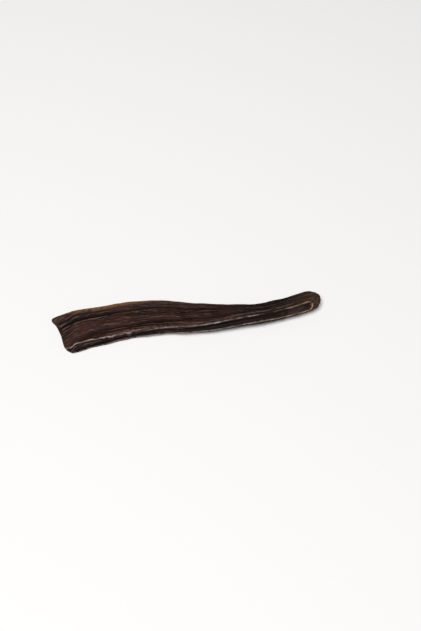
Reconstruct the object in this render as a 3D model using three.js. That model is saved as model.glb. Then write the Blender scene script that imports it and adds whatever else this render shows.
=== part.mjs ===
// Carob pod: one ripe, dried pod lying on its broad side, grown as a single piece.
// Millimetres, +Z up. X runs along the pod, from the blunt beaked tip at -X to the narrow stalk end at +X.
// Y runs across it, and the origin is on the surface it lies on, under the middle of its bounding box.
import * as THREE from "three";
import { mergeVertices } from "three/addons/utils/BufferGeometryUtils.js";

// Driving dimensions
const podLength = 180; // along the centre line, with the beak
const podWidth = 27; // across the broad face, where it is widest
const podThickness = 9.4; // over the swollen margins

// The pod's run from tip to stalk end. Places are shares of the length, widths of podWidth, thicknesses of
// podThickness. Sway is how far the centre line strays across Y and lift how far the underside clears the
// surface, both in millimetres. Roll is in degrees, and a positive one raises the near (-Y) edge.
const stations = [
  { place: 0.0, width: 1.02, thickness: 0.68, sway: -5.0, lift: 1.3, roll: -4 },
  { place: 0.07, width: 1.02, thickness: 0.92, sway: -2.1, lift: -0.1, roll: -2 },
  { place: 0.16, width: 0.95, thickness: 1.0, sway: 0.1, lift: -0.5, roll: 1 },
  { place: 0.28, width: 0.9, thickness: 1.03, sway: 1.2, lift: -0.3, roll: 3 },
  { place: 0.4, width: 0.85, thickness: 1.05, sway: -0.5, lift: 0.1, roll: 10 },
  { place: 0.54, width: 0.75, thickness: 1.04, sway: -4.4, lift: 0.5, roll: 20 },
  { place: 0.66, width: 0.66, thickness: 1.02, sway: -6.1, lift: 0.5, roll: 34 },
  { place: 0.78, width: 0.57, thickness: 0.98, sway: -5.6, lift: 0.1, roll: 43 },
  { place: 0.9, width: 0.57, thickness: 1.12, sway: -2.9, lift: -0.5, roll: 44 },
  { place: 1.0, width: 0.57, thickness: 1.22, sway: 0.6, lift: 0.3, roll: 46 },
];

// How the two ends close: the length of each rounded end and the powers that blunt it, seen from above and
// from the side. The ridges and furrows fade into a plain oval over the fade length, by the given share.
const tipEnd = { length: 3.4, fromAbove: 0.42, fromSide: 0.8, fade: 12, share: 0.3 };
const stalkEnd = { length: 8.5, fromAbove: 0.9, fromSide: 0.9, fade: 24, share: 0.45 };
const ovalPower = 2.5;
const beak = { length: 5, reach: 18, inner: 0.2, outer: 1.0 }; // the far corner of the tip stands out

// The cross-section, in shares of the half width and half thickness
const farMargin = { crest: 0.82, corner: 0.97, cornerHeight: 0.72, lipHeight: 0.34 };
const nearMargin = { crest: 0.88, corner: 0.98, cornerHeight: 0.74, lip: 0.99, lipHeight: 0.46 };
const rimsAtStalk = { corner: 1.0, cornerHeight: 0.54, lip: 0.96, lipHeight: 0.32, from: 60, to: 150 };
const farFurrow = { place: 0.48, tipPlace: 0.5, depth: 0.24, tipDepth: 0.4, fade: 32 }; // deeper at the tip
const nearFurrow = { place: -0.42, depth: 0.27 };
const face = { shares: [0.25, 0.5, 0.75], depth: 0.17 }; // spread from the far furrow to the near one

// The suture groove along each narrow edge, in millimetres. It fades in at the tip and closes a little before
// the stalk end. The near one is shallow for a while and then opens into a hollow, as a loop with two rims.
const suture = { depth: 1.4, tipFade: 12, stopsBefore: 7, stopLength: 5 };
const shallows = { depth: 0.5, from: 112, to: 132 };
const hollow = { depth: 2.6, from: 146, to: 155 };
const grooveFloor = { halfHeight: 0.2, depthShare: 0.86 }; // the near groove's floor, in shares as above

// Natural unevenness, in millimetres: bulges over the seeds and slow waves of the margins and faces
const seedBulge = { height: 0.09, pitch: 11 };
const unevenness = { crest: 0.22, face: 0.24, edge: 0.35 };

// Facets
const capRings = 7;
const bodyRings = 74;
const samplesPerControl = 2;

const { smoothstep, lerp, degToRad } = THREE.MathUtils;
const turn = 2 * Math.PI;
const loftLength = podLength - beak.length; // the beak stands out beyond the rest of the tip

// A smooth curve through one column of the stations, read at a distance from the tip
function columnOf(key) {
  const places = stations.map((station) => station.place * loftLength);
  const values = stations.map((station) => station[key]);
  const curve = new THREE.CubicInterpolant(new Float32Array(places), new Float32Array(values), 1);
  return (distance) => curve.evaluate(distance)[0];
}

const widthAt = columnOf("width");
const thicknessAt = columnOf("thickness");
const swayAt = columnOf("sway");
const liftAt = columnOf("lift");
const rollAt = columnOf("roll");

// A slow, irregular wave between -1 and 1 along the pod; the seed sets it apart from the other waves
function waver(distance, pitch, seed) {
  const slow = Math.sin((turn * distance) / pitch + seed);
  const quick = Math.sin((turn * distance) / (pitch * 0.43) + 2.3 * seed);
  return 0.65 * slow + 0.35 * quick;
}

// Control points over one broad face, from the far lip to the near lip, as shares of the half sizes.
// Side is 1 on the upper face and -1 on the underside, which wavers out of step with the upper one.
function facePoints(distance, side, halfThickness) {
  const inShares = (millimetres) => millimetres / halfThickness;
  const seed = side > 0 ? 0.4 : 2.9;
  const farCrest = 1 + inShares(unevenness.crest) * waver(distance, 47, seed);
  const nearCrest = 1 + inShares(unevenness.crest) * waver(distance, 39, seed + 1.1);
  const awayFromTip = smoothstep(distance, 0, farFurrow.fade);
  const furrow = lerp(farFurrow.tipPlace, farFurrow.place, awayFromTip);
  const furrowDepth = lerp(farFurrow.tipDepth, farFurrow.depth, awayFromTip);
  const seeds = inShares(seedBulge.height) * Math.cos((turn * distance) / seedBulge.pitch);
  const faceHeight = (index) =>
    1 - face.depth + seeds + inShares(unevenness.face) * waver(distance, 29 + 6 * index, seed + index);
  const towardStalk = smoothstep(distance, rimsAtStalk.from, rimsAtStalk.to);
  const near = (key) => lerp(nearMargin[key], rimsAtStalk[key], towardStalk);
  const points = [
    [1, farMargin.lipHeight],
    [farMargin.corner, farMargin.cornerHeight],
    [farMargin.crest, farCrest],
    [(farMargin.crest + furrow) / 2, farCrest - furrowDepth * 0.35],
    [furrow, farCrest - furrowDepth],
    ...face.shares.map((share, index) => [lerp(furrow, nearFurrow.place, share), faceHeight(index)]),
    [nearFurrow.place, nearCrest - nearFurrow.depth],
    [(nearFurrow.place - nearMargin.crest) / 2, nearCrest - nearFurrow.depth * 0.35],
    [-nearMargin.crest, nearCrest],
    [-near("corner"), near("cornerHeight")],
    [-near("lip"), near("lipHeight")],
  ];
  return points.map(([across, up]) => [across, side * up]);
}

// The point of a plain oval in the same direction from the centre, for a point given in shares
function ovalPoint([across, up]) {
  const size = (Math.abs(across) ** ovalPower + Math.abs(up) ** ovalPower) ** (1 / ovalPower);
  return [across / size, up / size];
}

// The cross-section of a ring, as points across the pod and up from its centre
function sectionOf({ distance, swell, oval }) {
  const halfWidth = (widthAt(distance) * podWidth) / 2;
  const halfThickness = (thicknessAt(distance) * podThickness) / 2;
  const stop = loftLength - suture.stopsBefore;
  const begun = smoothstep(distance, 0, suture.tipFade);
  const ended = smoothstep(distance, stop - suture.stopLength, stop);
  const plainDepth = lerp(suture.depth, shallows.depth, smoothstep(distance, shallows.from, shallows.to));
  const nearDepth = lerp(plainDepth, hollow.depth, smoothstep(distance, hollow.from, hollow.to));
  const groove = (depth) => 1 - (begun * (1 - ended) * depth) / halfWidth;
  const floorAcross = -groove(nearDepth * grooveFloor.depthShare);
  const outline = [
    [-groove(nearDepth), 0],
    [floorAcross, grooveFloor.halfHeight],
    ...facePoints(distance, 1, halfThickness).reverse(),
    [groove(suture.depth), 0],
    ...facePoints(distance, -1, halfThickness),
    [floorAcross, -grooveFloor.halfHeight],
  ];
  const edgeWaver = (unevenness.edge / halfWidth) * waver(distance, 61, 1.7);
  const controls = outline.map((point) => {
    const [ovalAcross, ovalUp] = ovalPoint(point);
    const across = (lerp(point[0], ovalAcross, oval) + edgeWaver) * swell.fromAbove;
    const up = lerp(point[1], ovalUp, oval) * swell.fromSide;
    return new THREE.Vector3(across * halfWidth, up * halfThickness, 0);
  });
  const curve = new THREE.CatmullRomCurve3(controls, true, "catmullrom", 0.5);
  return curve.getPoints(controls.length * samplesPerControl).slice(0, -1);
}

// One ring on a rounded end: how far it is from the pole, how far it has swollen and how oval it is
function endRing(end, turnShare) {
  const angle = (turnShare * Math.PI) / 2;
  const rise = Math.sin(angle);
  return {
    inset: end.length * (1 - Math.cos(angle)),
    swell: { fromAbove: rise ** end.fromAbove, fromSide: rise ** end.fromSide },
    oval: lerp(1, end.share, rise * rise),
  };
}

// Rings of the surface from the pole of the tip to the pole of the stalk end
function ringList() {
  const rings = [];
  for (let ring = 0; ring < capRings; ring += 1) {
    const closing = endRing(tipEnd, ring / capRings);
    rings.push({ ...closing, distance: closing.inset });
  }
  const bodyLength = loftLength - tipEnd.length - stalkEnd.length;
  for (let ring = 0; ring <= bodyRings; ring += 1) {
    const run = (ring / bodyRings) * bodyLength;
    const tipOval = tipEnd.share * (1 - smoothstep(run, 0, tipEnd.fade));
    const stalkOval = stalkEnd.share * (1 - smoothstep(bodyLength - run, 0, stalkEnd.fade));
    rings.push({
      distance: tipEnd.length + run,
      swell: { fromAbove: 1, fromSide: 1 },
      oval: tipOval + stalkOval,
    });
  }
  for (let ring = capRings - 1; ring >= 0; ring -= 1) {
    const closing = endRing(stalkEnd, ring / capRings);
    rings.push({ ...closing, distance: loftLength - closing.inset });
  }
  return rings;
}

// The points of one ring, set square to the centre line and rolled about it
function ringPoints(ring) {
  const { distance } = ring;
  const halfWidth = (widthAt(distance) * podWidth) / 2;
  const halfThickness = (thicknessAt(distance) * podThickness) / 2;
  const roll = degToRad(rollAt(distance));
  const reach = halfWidth * farMargin.crest * Math.abs(Math.sin(roll)) + halfThickness * Math.cos(roll);
  const centre = new THREE.Vector3(distance, swayAt(distance), reach + liftAt(distance));
  const slope = (swayAt(distance + 1) - swayAt(distance - 1)) / 2;
  const ahead = new THREE.Vector3(1, slope, 0).normalize();
  const level = new THREE.Vector3(-ahead.y, ahead.x, 0);
  const across = level.clone().applyAxisAngle(ahead, -roll);
  const up = new THREE.Vector3(0, 0, 1).applyAxisAngle(ahead, -roll);
  const nearTip = 1 - smoothstep(distance, 0, beak.reach);
  return sectionOf(ring).map((point) => {
    const stand = nearTip * smoothstep(point.x / halfWidth, beak.inner, beak.outer);
    const placed = centre
      .clone()
      .addScaledVector(across, point.x)
      .addScaledVector(up, point.y)
      .addScaledVector(ahead, -beak.length * stand);
    placed.z = Math.max(placed.z, 0); // the low points rest flat on the surface
    return placed;
  });
}

// A sphere's net of rings and meridians, drawn out into the pod
function podGeometry() {
  const rings = ringList().map(ringPoints);
  const around = rings[0].length;
  const geometry = new THREE.SphereGeometry(1, around, rings.length - 1);
  const position = geometry.getAttribute("position");
  for (let vertex = 0; vertex < position.count; vertex += 1) {
    const ring = Math.floor(vertex / (around + 1));
    const point = rings[ring][vertex % (around + 1) % around];
    position.setXYZ(vertex, point.x, point.y, point.z);
  }
  geometry.deleteAttribute("normal");
  geometry.deleteAttribute("uv");
  const closed = mergeVertices(geometry);
  closed.computeBoundingBox();
  const middle = closed.boundingBox.getCenter(new THREE.Vector3());
  closed.translate(-middle.x, -middle.y, 0);
  closed.computeVertexNormals();
  return closed;
}

const podSkin = new THREE.MeshStandardMaterial({ color: 0x3e2d28, roughness: 0.5, metalness: 0 });

const pod = new THREE.Mesh(podGeometry(), podSkin);
pod.name = "carob_pod";

const carobPod = new THREE.Group();
carobPod.add(pod);

export default carobPod;
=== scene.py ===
import math

import bpy
import numpy as np
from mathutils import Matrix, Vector, noise


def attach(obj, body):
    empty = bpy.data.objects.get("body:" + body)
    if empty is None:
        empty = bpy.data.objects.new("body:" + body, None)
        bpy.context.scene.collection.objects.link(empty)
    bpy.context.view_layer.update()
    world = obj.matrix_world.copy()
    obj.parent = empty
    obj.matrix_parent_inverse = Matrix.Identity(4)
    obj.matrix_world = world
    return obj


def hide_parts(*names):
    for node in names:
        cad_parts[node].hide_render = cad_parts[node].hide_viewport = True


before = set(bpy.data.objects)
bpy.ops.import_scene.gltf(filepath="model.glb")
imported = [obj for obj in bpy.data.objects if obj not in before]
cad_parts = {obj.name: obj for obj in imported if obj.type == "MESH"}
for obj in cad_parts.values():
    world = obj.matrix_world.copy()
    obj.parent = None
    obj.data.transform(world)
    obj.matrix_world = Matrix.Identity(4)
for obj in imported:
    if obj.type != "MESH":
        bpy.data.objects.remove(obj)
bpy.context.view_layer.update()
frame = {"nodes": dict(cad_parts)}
mm = 0.001
print("frame loaded:", ", ".join(frame["nodes"]))


def hexColour(code):  # sRGB hex to the linear colour a shader takes
    channels = [int(code[i:i + 2], 16) / 255 for i in (0, 2, 4)]
    linear = [c / 12.92 if c <= 0.04045 else ((c + 0.055) / 1.055) ** 2.4 for c in channels]
    return (*linear, 1.0)


def addNode(tree, kind, settings, links):  # a node, its settings and what feeds it
    node = tree.nodes.new(kind)
    for name, value in settings.items():
        if isinstance(name, int) or name in node.inputs:
            node.inputs[name].default_value = value
        else:
            setattr(node, name, value)
    for name, source in links.items():
        tree.links.new(source, node.inputs[name])
    return node


def newMaterial(name):
    material = bpy.data.materials.new(name)
    material.use_nodes = True
    return material, material.node_tree, material.node_tree.nodes["Principled BSDF"]


# camera: looks down on the pod from in front, a little to the left
cameraSet = {
    "middle": (16.0, 1.94, 0.0),  # mm, what the middle of the picture shows
    "distance": 450.0,  # mm
    "azimuth": -7.0,  # degrees round from straight in front
    "elevation": 65.0,  # degrees above the floor
    "focalPixels": 660.0,
    "longSidePixels": 631.0,
    "sensor": 36.0,  # mm along the long side
}


def makeCamera():
    turn = math.radians(cameraSet["azimuth"])
    rise = math.radians(cameraSet["elevation"])
    back = Vector((math.sin(turn) * math.cos(rise), -math.cos(turn) * math.cos(rise), math.sin(rise)))
    place = (Vector(cameraSet["middle"]) + back * cameraSet["distance"]) * mm
    bpy.ops.object.camera_add(location=place, rotation=(-back).to_track_quat("-Z", "Y").to_euler())
    camera = bpy.context.object
    camera.data.sensor_width = cameraSet["sensor"]
    camera.data.lens = cameraSet["sensor"] * cameraSet["focalPixels"] / cameraSet["longSidePixels"]
    camera.data.clip_start = 10 * mm
    bpy.context.scene.camera = camera


bpy.ops.object.select_all(action="DESELECT")
makeCamera()
print("camera set")

# floor and studio light
floorSet = {"size": 6.0, "colour": "f3f2f0", "roughness": 0.9}
lightSet = {
    "frontSoftbox": {"place": (-0.55, -0.75, 2.6), "size": (1.1, 0.8), "power": 82.0},
}
skySet = {"colour": "ffffff", "strength": 0.07}


def makeStudio():
    bpy.ops.mesh.primitive_plane_add(size=floorSet["size"])
    floor = bpy.context.object
    floor.name = "paperFloor"
    paper, _, shader = newMaterial("mattPaper")  # matt white card, no gloss to speak of
    shader.inputs["Base Color"].default_value = hexColour(floorSet["colour"])
    shader.inputs["Roughness"].default_value = floorSet["roughness"]
    floor.data.materials.append(paper)
    for name, box in lightSet.items():
        place = Vector(box["place"])
        bpy.ops.object.light_add(type="AREA", location=place)
        lamp = bpy.context.object
        lamp.name = name
        lamp.rotation_euler = (-place).to_track_quat("-Z", "Y").to_euler()
        lamp.data.shape = "RECTANGLE"
        lamp.data.size, lamp.data.size_y = box["size"]
        lamp.data.energy = box["power"]
    sky = bpy.data.worlds.new("studioSky")
    sky.use_nodes = True
    sky.node_tree.nodes["Background"].inputs["Color"].default_value = hexColour(skySet["colour"])
    sky.node_tree.nodes["Background"].inputs["Strength"].default_value = skySet["strength"]
    bpy.context.scene.world = sky
    bpy.context.scene.view_settings.view_transform = "Standard"


makeStudio()
print("studio set")

# the pod: a fine skin over the solid, with the wrinkles that drying leaves
podSet = {
    "subdivisions": 2,
    "slice": 2.5,  # mm, half the length of skin that is measured at once
    "slices": 80,
    "endTrim": 13.0,  # mm at each end that the measuring leaves out
    "tipTurn": (0.25, 0.65),  # how far the skin turns to the tip before its wrinkles fade
    "tipReach": 30.0,  # mm
    "faceEdge": (0.72, 0.95),  # shares of the half width, where a broad face gives way to the margin
    "marginWrinkles": 0.55,  # how deep the margins wrinkle, beside the faces
    "tipSmoothing": 30, "fineSmoothing": 12, "broadSmoothing": 90,  # rounds
}
farFurrowSet = {  # the deep crease beside the far margin
    "tipPlace": 0.55, "place": 0.48, "run": 34.0, "depth": 0.5, "reach": 0.9, "fade": (32.0, 70.0),
    "rest": 0.3, "wander": 0.04,
    # where painted shade lies in the far furrow
    "shadeReach": (2.8, 1.7), "narrowing": (14.0, 42.0), "shadeFrom": (2.0, 8.0), "shadeFade": (28.0, 54.0),
}
nearFurrowSet = {"place": -0.42, "depth": 0.18, "reach": 1.8, "wander": 0.1, "fade": (50.0, 80.0)}
rimSet = {  # the two rims of the near groove, which close up toward the stalk
    "crestGap": (3.6, 1.1), "gapRun": (14.0, 46.0),  # mm in from the near edge, at the tip and further on
    "crestRun": (48.0, 78.0), "start": (4.0, 10.0), "edge": (1.8, 3.0),
    "height": 0.74, "stalkHeight": 0.54, "run": (60.0, 150.0), "lowerHeight": 0.52,
    "loopEnd": 10.2,  # mm from the stalk end, where they turn to meet
    "dim": 0.6, "dimRun": (146.0, 13.0),  # where the upper one is hardly rubbed and its painted highlight fades
    "raise": 0.42, "reach": 0.6, "knobSize": (6.0, 4.0, 4.0), "knobs": (0.8, 1.2), "seed": 7.0,
    "shade": (-1.3, -0.5), "shadeHeight": (-0.75, -0.45),  # painted shade on the side below the crest
}
wrinkleSet = [  # size along, across and through the pod in mm, how deep in mm, seed
    {"size": (30.0, 3.2, 3.2), "depth": 0.26, "seed": 1.0},  # long folds
    {"size": (13.0, 1.6, 1.6), "depth": 0.17, "seed": 2.0},
    {"size": (6.0, 0.9, 0.9), "depth": 0.1, "seed": 3.0},  # the finest
]
lumpSet = {"size": (10.0, 6.0, 6.0), "depth": 0.3, "seed": 4.0}
slantSet = {"slope": 0.05, "warp": 1.1, "warpSize": (22.0, 9.0, 9.0), "seed": 5.0}
grooveSet = {  # places in mm before the stalk end
    "crack": 0.35, "reach": 0.6, "edge": (0.55, 0.75), "shallow": (70.0, 50.0), "shallowing": 0.8,
    # the end and start settings below, with the gap and half settings, place painted shade at the hollow's
    # ends and in the near groove
    "loop": (30.0, 23.0), "stop": (11.0, 8.0), "shadeEnd": (16.0, 11.0), "shadeStart": (25.0, 1.8),
    "floorPlace": -0.88, "floorReach": 2.0, "shadeGap": (2.2, 3.6), "shadeHalf": 0.5,
}
seamSet = {"place": 0.92, "height": 0.85, "reach": 1.9, "from": (8.0, 20.0), "to": (54.0, 92.0), "rest": 0.2}
stalkSet = {  # wrinkles that spread from the end of the hollow, over the rounded stalk end
    "centre": 10.0, "from": 1.5, "to": (6.0, 15.0), "spokes": 9.0, "spokeLength": 7.0,
    "depth": 0.3, "seed": 6.0,
    "fan": (0.45, 1.15),  # radians either way, where they fade
    "tan": (20.0, 8.0),  # mm before the stalk end
    "paintedShadeRun": (95.0, 140.0),  # mm from the tip, where painted shade darkens the rind
}


def smoothStep(values, low, high):
    share = np.clip((values - low) / (high - low), 0, 1)
    return share * share * (3 - 2 * share)


def bell(values, centre, width):
    return np.exp(-(((values - centre) / width) ** 2))


def nearing(along, stretch):  # 0 to 1 over a stretch given in mm before the stalk end
    return smoothStep(along - along.max(), -stretch[0], -stretch[1])


def ridged(values):  # sharp valleys, round backs
    return 2.2 * np.abs(values) - 0.6


def noiseOver(flow, size, seed):
    spots = flow / np.array(size) + seed * np.array((17.3, 5.9, 11.1))
    return np.array([noise.noise(Vector(spot)) for spot in spots])


def vertexArray(mesh, what):
    values = np.empty(len(mesh.vertices) * 3)
    mesh.vertices.foreach_get(what, values)
    return values.reshape(-1, 3)


def measureRun(points):  # the pod's middle, roll and half sizes along its length, all in mm
    along = points[:, 0]
    places = np.linspace(along.min() + podSet["endTrim"], along.max() - podSet["endTrim"], podSet["slices"])
    rows = []
    for place in places:
        ring = points[np.abs(along - place) < podSet["slice"], 1:]
        middle = ring.mean(axis=0)
        y, z = (ring - middle).T
        roll = 0.5 * math.atan2(2 * (y * z).sum(), (y * y).sum() - (z * z).sum())
        across = y * math.cos(roll) + z * math.sin(roll)
        up = z * math.cos(roll) - y * math.sin(roll)
        rows.append((*middle, roll, np.abs(across).max(), np.abs(up).max()))
    rows = np.array(rows)
    reach = np.array((along.min(), along.max()))
    slopes = (rows[[3, -1]] - rows[[0, -4]]) / (places[[3, -1]] - places[[0, -4]])[:, None]
    ends = rows[[0, -1]] + slopes * (reach - places[[0, -1]])[:, None] * (1, 1, 0, 0, 0)
    return np.concatenate(([reach[0]], places, [reach[1]])), np.vstack((ends[0], rows, ends[1]))


def straighten(points, run):  # the same points with the pod's sway and twist taken out
    places, rows = run
    y, z, roll, halfWidth, halfThickness = (np.interp(points[:, 0], places, column) for column in rows.T)
    aside, above = points[:, 1] - y, points[:, 2] - z
    across = aside * np.cos(roll) + above * np.sin(roll)
    up = above * np.cos(roll) - aside * np.sin(roll)
    return np.stack((points[:, 0] - places[0], across, up), axis=1), halfWidth, halfThickness


def smoothed(values, edges, times):  # each vertex drawn to the mean of its neighbours
    ends = np.concatenate((edges[:, 0], edges[:, 1]))
    others = np.concatenate((edges[:, 1], edges[:, 0]))
    count = np.bincount(ends, minlength=len(values))[:, None]
    for _ in range(times):
        total = np.stack([np.bincount(ends, values[others, i], len(values)) for i in range(3)], axis=1)
        values = 0.5 * values + 0.5 * total / count
    return values


def startSkin():  # a closed, subdivided copy of the solid
    skin = bpy.data.objects.new("carobPod", frame["nodes"]["carob_pod"].data.copy())
    bpy.context.collection.objects.link(skin)
    bpy.ops.object.select_all(action="DESELECT")
    skin.select_set(True)
    bpy.context.view_layer.objects.active = skin
    bpy.ops.mesh.customdata_custom_splitnormals_clear()
    bpy.ops.object.mode_set(mode="EDIT")
    bpy.ops.mesh.select_all(action="SELECT")
    bpy.ops.mesh.remove_doubles(threshold=0.001 * mm)
    bpy.ops.mesh.tris_convert_to_quads(face_threshold=math.pi, shape_threshold=math.pi)
    bpy.ops.object.mode_set(mode="OBJECT")
    bpy.ops.object.modifier_add(type="SUBSURF")
    skin.modifiers[0].levels = podSet["subdivisions"]
    skin.modifiers[0].render_levels = podSet["subdivisions"]
    bpy.ops.object.modifier_apply(modifier=skin.modifiers[0].name)
    bpy.ops.object.shade_smooth()
    skin.data.materials.clear()
    return skin


def lineOf(flow, half, place, height, reach):  # 1 on a line of the section, 0 beyond its reach in mm
    aside = flow[:, 1] - place * half[0]
    above = flow[:, 2] - height * half[1]
    return np.exp(-(aside * aside + above * above) / reach**2)


def furrowPlace(along):
    settled = smoothStep(along, 0, farFurrowSet["run"])
    return farFurrowSet["tipPlace"] + (farFurrowSet["place"] - farFurrowSet["tipPlace"]) * settled


def nearGap(flow):  # how far each spot is from the near edge, in mm
    along, across = flow[:, 0], flow[:, 1]
    places = np.linspace(0, along.max(), podSet["slices"])
    edge = [across[np.abs(along - place) < podSet["slice"]].min() for place in places]
    return across - np.interp(along, places, edge)


def crestGap(along):
    atTip, further = rimSet["crestGap"]
    return atTip + (further - atTip) * smoothStep(along, *rimSet["gapRun"])


def rimLines(flow, half, reach):  # the upper rim, the lower one, and the bend where they meet
    along, up = flow[:, 0], flow[:, 2]
    gap = nearGap(flow)
    atEdge = 1 - smoothStep(gap, *rimSet["edge"])
    closing = smoothStep(along, *rimSet["run"])
    crest = 1 - smoothStep(along, *rimSet["crestRun"])
    height = (rimSet["height"] + (rimSet["stalkHeight"] - rimSet["height"]) * closing) * half[1]
    ahead = along - along.max() + rimSet["loopEnd"]
    straight = (ahead < 0) * smoothStep(along, *rimSet["start"])
    onCrest = crest * (up > 0) * bell(gap, crestGap(along), reach)
    upper = straight * np.maximum(onCrest, (1 - crest) * atEdge * bell(up, height, reach))
    lower = straight * atEdge * bell(up, -rimSet["lowerHeight"] * half[1], reach)
    bend = (ahead >= 0) * atEdge * bell(np.hypot(ahead, up), height, reach)
    return upper, lower, bend


def stalkSpokes(flow, half):  # noise that spreads from the end of the hollow, and where it shows
    ahead = flow[:, 0] - flow[:, 0].max() + stalkSet["centre"]
    away = np.sqrt(ahead**2 + (flow[:, 1] + half[0]) ** 2 + flow[:, 2] ** 2)
    angle = np.arctan2(flow[:, 2], ahead)
    spots = np.stack((angle * stalkSet["spokes"], away / stalkSet["spokeLength"], np.sign(angle)), axis=1)
    shown = smoothStep(away, 0, stalkSet["from"])
    shown *= 1 - smoothStep(away, *stalkSet["to"])
    shown *= 1 - smoothStep(np.abs(angle), *stalkSet["fan"])
    return noiseOver(spots, (1.0, 1.0, 1.0), stalkSet["seed"]), shown


def reliefDepth(flow, half):  # how far each spot of the skin is pushed out, in mm
    along = flow[:, 0]
    across = flow[:, 1] / half[0]
    margin = smoothStep(np.abs(across), *podSet["faceEdge"])
    # wrinkles run along the pod, a little slanted and wandering
    bent = flow.copy()
    wander = noiseOver(flow, slantSet["warpSize"], slantSet["seed"])
    bent[:, 1] += slantSet["slope"] * along + slantSet["warp"] * wander
    depth = lumpSet["depth"] * noiseOver(flow, lumpSet["size"], lumpSet["seed"])
    for wrinkle in wrinkleSet:
        fold = ridged(noiseOver(bent, wrinkle["size"], wrinkle["seed"]))
        depth += wrinkle["depth"] * fold * (1 - (1 - podSet["marginWrinkles"]) * margin)
    # the deep crease beside the far margin, and the shallow one beside the near margin
    weaker = 1 - (1 - farFurrowSet["rest"]) * smoothStep(along, *farFurrowSet["fade"])
    middle = furrowPlace(along) + farFurrowSet["wander"] * wander
    crease = bell(flow[:, 1], middle * half[0], farFurrowSet["reach"])
    depth -= farFurrowSet["depth"] * weaker * crease
    middle = nearFurrowSet["place"] + nearFurrowSet["wander"] * wander
    depth -= nearFurrowSet["depth"] * bell(flow[:, 1], middle * half[0], nearFurrowSet["reach"])
    # the near groove's rims, knobbly as they dry
    plain, uneven = rimSet["knobs"]
    knobs = plain + uneven * noiseOver(flow, rimSet["knobSize"], rimSet["seed"])
    depth += rimSet["raise"] * sum(rimLines(flow, half, rimSet["reach"])) * knobs
    # a crack along the bottom of each groove
    crack = grooveSet["crack"] * bell(flow[:, 2], 0, grooveSet["reach"])
    crack *= smoothStep(np.abs(across), *grooveSet["edge"])
    crack *= 1 - nearing(along, grooveSet["stop"])
    crack *= 1 - grooveSet["shallowing"] * (across < 0) * nearing(along, grooveSet["shallow"])
    depth -= crack
    # wrinkles that spread over the stalk end
    spokes, shown = stalkSpokes(flow, half)
    depth += stalkSet["depth"] * shown * ridged(spokes)
    return depth


def storeFloats(mesh, name, values):
    attribute = mesh.attributes.new(name, "FLOAT", "POINT")
    attribute.data.foreach_set("value", values.astype(np.float32))


def markRims(mesh, flow, half):  # where the rims are rubbed pale and carry a painted highlight, and the loop at their end
    along = flow[:, 0]
    upper, lower, bend = rimLines(flow, half, rimSet["reach"])
    upper *= 1 - rimSet["dim"] * bell(along, *rimSet["dimRun"])
    rims = np.maximum(np.maximum(upper, lower), bend)
    loop = nearing(along, grooveSet["loop"])
    storeFloats(mesh, "rims", rims * (1 - loop))
    storeFloats(mesh, "loopRims", rims * loop)


def markGrooves(mesh, flow, half):  # painted shade in the near groove and at the hollow's ends, and the hollow it ends in
    along, up = flow[:, 0], flow[:, 2]
    gap = nearGap(flow)
    between = (1 - smoothStep(gap, *grooveSet["shadeGap"])) * bell(up, 0, grooveSet["shadeHalf"] * half[1])
    below = 1 - smoothStep(gap - crestGap(along), *rimSet["shade"])
    below *= (1 - smoothStep(along, *rimSet["crestRun"])) * smoothStep(up / half[1], *rimSet["shadeHeight"])
    storeFloats(mesh, "groove", np.maximum(between, below) * (1 - nearing(along, grooveSet["shallow"])))
    floor = lineOf(flow, half, grooveSet["floorPlace"], 0, grooveSet["floorReach"])
    floor *= 1 - nearing(along, grooveSet["stop"])
    storeFloats(mesh, "hollow", floor * nearing(along, grooveSet["loop"]))
    start, width = grooveSet["shadeStart"]
    ends = np.maximum(nearing(along, grooveSet["shadeEnd"]), bell(along - along.max(), -start, width))
    storeFloats(mesh, "hollowEndShade", floor * ends)


def markFurrows(mesh, flow, half):  # painted shade in the two furrows, on the upper face
    along, across, up = flow.T
    wide, narrow = farFurrowSet["shadeReach"]
    reach = wide + (narrow - wide) * smoothStep(along, *farFurrowSet["narrowing"])
    dark = bell(across, furrowPlace(along) * half[0], reach) * (up > 0)
    dark *= smoothStep(along, *farFurrowSet["shadeFrom"]) * (1 - smoothStep(along, *farFurrowSet["shadeFade"]))
    storeFloats(mesh, "furrow", dark)
    soft = bell(across, nearFurrowSet["place"] * half[0], nearFurrowSet["reach"]) * (up > 0)
    storeFloats(mesh, "nearFurrow", soft * (1 - smoothStep(along, *nearFurrowSet["fade"])))


def markEnds(mesh, flow, half):  # the far seam, the stalk end and the painted shade on the stretch before it
    along = flow[:, 0]
    seam = lineOf(flow, half, seamSet["place"], seamSet["height"], seamSet["reach"])
    seam *= smoothStep(along, *seamSet["from"])
    seam *= 1 - (1 - seamSet["rest"]) * smoothStep(along, *seamSet["to"])
    storeFloats(mesh, "farSeam", seam)
    stalk = nearing(along, stalkSet["tan"])
    storeFloats(mesh, "stalkEnd", stalk)
    storeFloats(mesh, "paintedShadeRun", smoothStep(along, *stalkSet["paintedShadeRun"]) * (1 - stalk))


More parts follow.
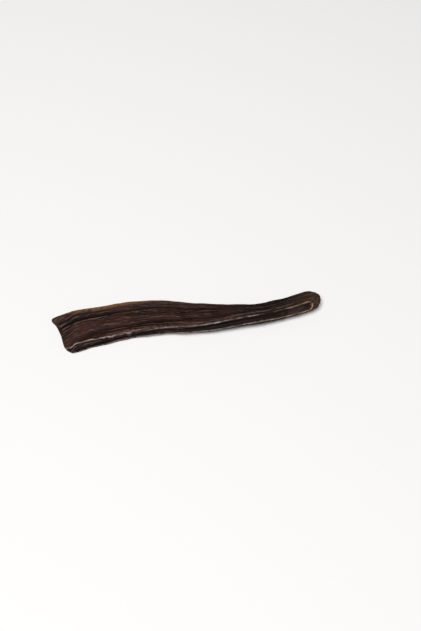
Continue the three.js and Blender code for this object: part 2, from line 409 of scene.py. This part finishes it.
def makePod():
    skin = startSkin()
    mesh = skin.data
    points = vertexArray(mesh, "co") / mm
    flow, *half = straighten(points, measureRun(points))
    normals = vertexArray(mesh, "normal")
    onTip = smoothStep(-normals[:, 0], *podSet["tipTurn"]) * (flow[:, 0] < podSet["tipReach"])
    depth = reliefDepth(flow, half) * (1 - onTip)
    points = points + normals * depth[:, None]
    edges = np.empty(len(mesh.edges) * 2, int)
    mesh.edges.foreach_get("vertices", edges)
    edges = edges.reshape(-1, 2)
    calm = smoothed(points, edges, podSet["tipSmoothing"])
    points += (calm - points) * onTip[:, None]  # the blunt end is smooth
    points[:, 2] = np.maximum(points[:, 2], 0)  # it still lies on the floor
    mesh.vertices.foreach_set("co", (points * mm).ravel())
    mesh.update()
    print("skin shaped:", len(mesh.polygons), "faces")
    # what the colours follow: fine and broad relief in mm, the straightened place, and marks on the skin
    normals = vertexArray(mesh, "normal")
    fine = smoothed(points, edges, podSet["fineSmoothing"])
    broad = smoothed(fine, edges, podSet["broadSmoothing"])
    storeFloats(mesh, "fineRelief", ((points - fine) * normals).sum(axis=1))
    storeFloats(mesh, "broadRelief", ((fine - broad) * normals).sum(axis=1))
    place = mesh.attributes.new("straightPlace", "FLOAT_VECTOR", "POINT")
    place.data.foreach_set("vector", flow.astype(np.float32).ravel())
    for mark in (markRims, markGrooves, markFurrows, markEnds):
        mark(mesh, flow, half)
    return skin


pod = makePod()
print("pod modelled")

# carob skin: dried leathery rind, chocolate brown, dusty grey on the ridges as wear and painted highlight,
# with painted near-black shade in the folds, yellow-brown along the far seam and at the stalk end, with a
# faint waxy shine
skinSet = {
    "roughness": (0.55, 0.78), "roughnessSpan": (0.3, 0.7), "patternRoughness": 0.55,
    "ior": 1.45, "specular": 0.12, "ground": "120a08",
}
patternSet = {  # size in mm along, across and through the pod, and detail
    "streaks": {"size": (14.0, 1.1, 1.1), "detail": 4.0},
    "patches": {"size": (14.0, 14.0, 14.0), "detail": 3.0},
    "breakUp": {"size": (2.5, 2.5, 2.5), "detail": 3.0},
    "rub": {"size": (9.0, 2.0, 2.0), "detail": 4.0},  # rubbed stretches of the rims, which also break up their painted highlight
    "dust": {"size": (1.3, 1.3, 1.3), "detail": 1.0},  # its peaks are specks
    "fibres": {"size": (7.0, 0.55, 0.55), "detail": 3.0},
    "grain": {"size": (0.35, 0.35, 0.35), "detail": 2.0},  # pores, coarser than life so that they show
}
maskSet = {  # a pattern or an attribute of the skin, from where to where it counts, and how much at each
    "streaky": {"of": "streaks", "span": (0.36, 0.62), "gives": (0.0, 1.0)},
    "patchy": {"of": "patches", "span": (0.45, 0.7), "gives": (0.0, 1.0)},
    # painted shade that darkens the rind toward the stalk
    "dull": {"of": "paintedShadeRun", "span": (0.0, 1.0), "gives": (0.0, 0.88)},
    "atStalk": {"of": "stalkEnd", "span": (0.0, 1.0), "gives": (0.0, 0.9)},
    "onSeam": {"of": "farSeam", "span": (0.1, 0.8), "gives": (0.0, 1.0)},
    "scuffed": {"of": "breakUp", "span": (0.3, 0.55), "gives": (0.2, 1.0)},
    "inHollow": {"of": "hollow", "span": (0.0, 0.8), "gives": (0.0, 1.0)},
    "paintedHollowShade": {"of": "hollowEndShade", "span": (0.0, 0.8), "gives": (0.0, 0.8)},
    "paintedFurrowShade": {"of": "furrow", "span": (0.0, 0.9), "gives": (0.0, 0.92)},
    "paintedGrooveShade": {"of": "groove", "span": (0.05, 0.75), "gives": (0.0, 0.95)},
    "paintedNearFurrowShade": {"of": "nearFurrow", "span": (0.0, 1.0), "gives": (0.0, 0.8)},
    "ridgeWearAndHighlight": {"of": "fineRelief", "span": (0.02, 0.13), "gives": (0.0, 1.0)},  # mm, lighter fine ridges: wear and painted highlight
    "onRim": {"of": "rims", "span": (0.4, 0.95), "gives": (0.0, 1.0)},
    "onLoop": {"of": "loopRims", "span": (0.3, 0.95), "gives": (0.0, 1.0)},
    "rubbedAndHighlit": {"of": "rub", "span": (0.38, 0.62), "gives": (0.1, 0.95)},
    "paintedFoldShade": {"of": "fineRelief", "span": (-0.02, -0.16), "gives": (0.0, 1.0)},
    "paintedDipShade": {"of": "broadRelief", "span": (-0.1, -0.9), "gives": (0.0, 0.75)},
    "speck": {"of": "dust", "span": (0.76, 0.82), "gives": (0.0, 0.7)},
}
layerSet = [  # colours laid over the ground in this order, each where its masks are
    {"colour": "38221b", "masks": ("streaky",)},  # brown rind
    {"colour": "3e251e", "masks": ("patchy",)},  # redder patches
    {"colour": "160b09", "masks": ("dull",)},  # painted shade, darker toward the stalk
    {"colour": "1f0f0c", "masks": ("paintedNearFurrowShade",)},  # painted shade in the soft furrow beside the near margin
    {"colour": "312214", "masks": ("atStalk",)},  # tan stalk end
    {"colour": "895f2f", "masks": ("onSeam", "scuffed")},  # ochre seam
    {"colour": "433233", "masks": ("inHollow", "scuffed")},  # lilac-brown floor of the hollow, lightened in specks as a painted highlight
    # painted shade at the ends of the hollow
    {"colour": "0a0505", "masks": ("paintedHollowShade",)},
    # painted shade in the far furrow
    {"colour": "060303", "masks": ("paintedFurrowShade",)},
    # painted shade in the near groove and on the side below the crest
    {"colour": "060303", "masks": ("paintedGrooveShade",)},
    {"colour": "614a40", "masks": ("ridgeWearAndHighlight", "scuffed")},  # ridges lighter, as wear and painted highlight
    # painted shade in the fine folds
    {"colour": "060303", "masks": ("paintedFoldShade",)},
    # painted shade in the broad dips
    {"colour": "060303", "masks": ("paintedDipShade",)},
    {"colour": "a39891", "masks": ("onRim", "rubbedAndHighlit", "scuffed")},  # rims rubbed pale, with a painted highlight
    # loop rims, pale ochre with a painted highlight
    {"colour": "ac9172", "masks": ("onLoop", "rubbedAndHighlit", "scuffed")},
    {"colour": "948474", "masks": ("speck",)},  # dust
]
bumpSet = {"fibres": 0.16, "grain": 0.05}  # mm


def podMaterial():
    material, tree, shader = newMaterial("driedCarobRind")
    place = addNode(tree, "ShaderNodeAttribute", {"attribute_name": "straightPlace"}, {}).outputs["Vector"]
    values = {}
    for name, pattern in patternSet.items():
        scale = tuple(1 / side for side in pattern["size"])
        spot = addNode(tree, "ShaderNodeMapping", {"Scale": scale}, {"Vector": place}).outputs["Vector"]
        settings = {"Scale": 1.0, "Detail": pattern["detail"], "Roughness": skinSet["patternRoughness"]}
        values[name] = addNode(tree, "ShaderNodeTexNoise", settings, {"Vector": spot}).outputs["Fac"]
    masks = {}
    for name, mask in maskSet.items():
        if mask["of"] not in values:
            settings = {"attribute_name": mask["of"]}
            values[mask["of"]] = addNode(tree, "ShaderNodeAttribute", settings, {}).outputs["Fac"]
        low, high = mask["span"]
        least, most = mask["gives"]
        settings = {"From Min": low, "From Max": high, "To Min": least, "To Max": most}
        links = {"Value": values[mask["of"]]}
        masks[name] = addNode(tree, "ShaderNodeMapRange", settings, links).outputs["Result"]
    colour = None
    for layer in layerSet:
        amount = masks[layer["masks"][0]]
        for name in layer["masks"][1:]:
            both = {0: amount, 1: masks[name]}
            amount = addNode(tree, "ShaderNodeMath", {"operation": "MULTIPLY"}, both).outputs["Value"]
        settings = {"data_type": "RGBA", 6: hexColour(skinSet["ground"]), 7: hexColour(layer["colour"])}
        under = {6: colour} if colour else {}
        colour = addNode(tree, "ShaderNodeMix", settings, {0: amount, **under}).outputs[2]
    tree.links.new(colour, shader.inputs["Base Color"])
    low, high = skinSet["roughnessSpan"]
    smooth, rough = skinSet["roughness"]
    settings = {"From Min": low, "From Max": high, "To Min": smooth, "To Max": rough}
    dull = addNode(tree, "ShaderNodeMapRange", settings, {"Value": values["streaks"]}).outputs["Result"]
    tree.links.new(dull, shader.inputs["Roughness"])
    shader.inputs["IOR"].default_value = skinSet["ior"]
    shader.inputs["Specular IOR Level"].default_value = skinSet["specular"]
    normal = {}
    for name, depth in bumpSet.items():
        links = {"Height": values[name], **normal}
        bump = addNode(tree, "ShaderNodeBump", {"Distance": depth * mm}, links)
        normal = {"Normal": bump.outputs["Normal"]}
    tree.links.new(normal["Normal"], shader.inputs["Normal"])
    return material


pod.data.materials.append(podMaterial())
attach(pod, "root")
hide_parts("carob_pod")
print("skin finished")
